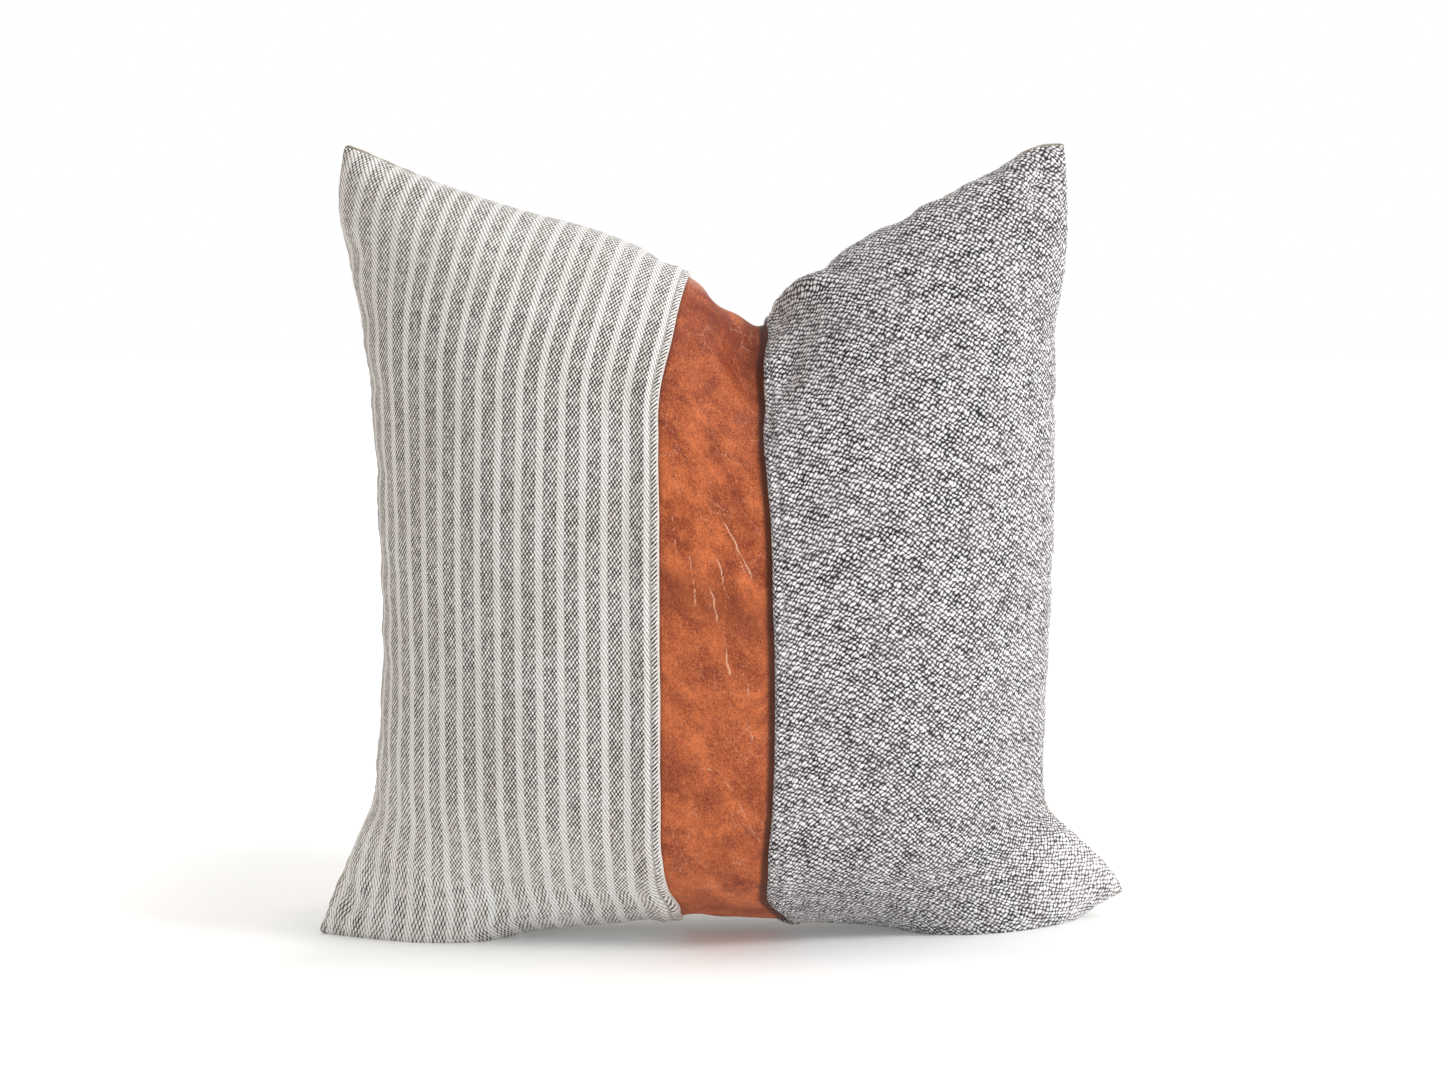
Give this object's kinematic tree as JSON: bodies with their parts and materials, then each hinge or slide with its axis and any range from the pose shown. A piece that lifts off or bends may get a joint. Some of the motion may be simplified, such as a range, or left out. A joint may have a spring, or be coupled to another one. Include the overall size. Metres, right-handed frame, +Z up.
{
  "type": "throw pillow",
  "caption": "Square throw pillow with a striped panel, a narrow leather band and a basket-weave panel in front, a zipped back and a separate filled insert.",
  "frame": {"origin": "middle of the footprint of the standing pillow's outer box, on the surface that it stands on", "axes": "+Z up, front panels face -Y, +X to the right seen from the front"},
  "size_m": [0.493, 0.2233, 0.475],
  "materials": {
    "ticking": "matte grey ticking weave with white stripes",
    "leather": "waxed, creased and mottled",
    "tweed": "matte chunky two-tone basket weave",
    "back_cloth": "matte plain linen weave",
    "thread": "matte sewing thread",
    "zip_tape": "matte woven tape",
    "zip_coil": "satin nylon",
    "zip_metal": "satin",
    "casing": "matte cotton",
    "fill": "matte fibre"
  },
  "bodies": {
    "pillow": {"ticking_panel": "ticking", "leather_band": "leather", "tweed_panel": "tweed", "ticking_topstitch": "thread", "tweed_topstitch": "thread", "back_panel_upper": "back_cloth", "back_panel_lower": "back_cloth", "zip_tape_upper": "zip_tape", "zip_tape_lower": "zip_tape", "zip_coil_upper": "zip_coil", "zip_coil_lower": "zip_coil", "zip_top_stop": "zip_metal", "zip_bottom_stop": "zip_metal", "zip_stitch_upper": "thread", "zip_stitch_lower": "thread", "insert_casing_front": "casing", "insert_casing_back": "casing", "insert_fill": "fill"},
    "zip_slider": {"zip_slider_body": "zip_metal"},
    "zip_pull": {"zip_pull_tab": "zip_metal"}
  },
  "joints": [
    {"name": "zip_slide", "type": "hinge", "parent": "pillow", "child": "zip_slider", "pos_m": [0.0085, -0.35748, 0.065], "axis": [0, 0, 1], "range_deg": [0, 43]},
    {"name": "pull_swing", "type": "hinge", "parent": "zip_slider", "child": "zip_pull", "pos_m": [0.15978, 0.06748, 0.06365], "axis": [0.9421, -0.3354, 0], "range_deg": [0, 145]}
  ]
}
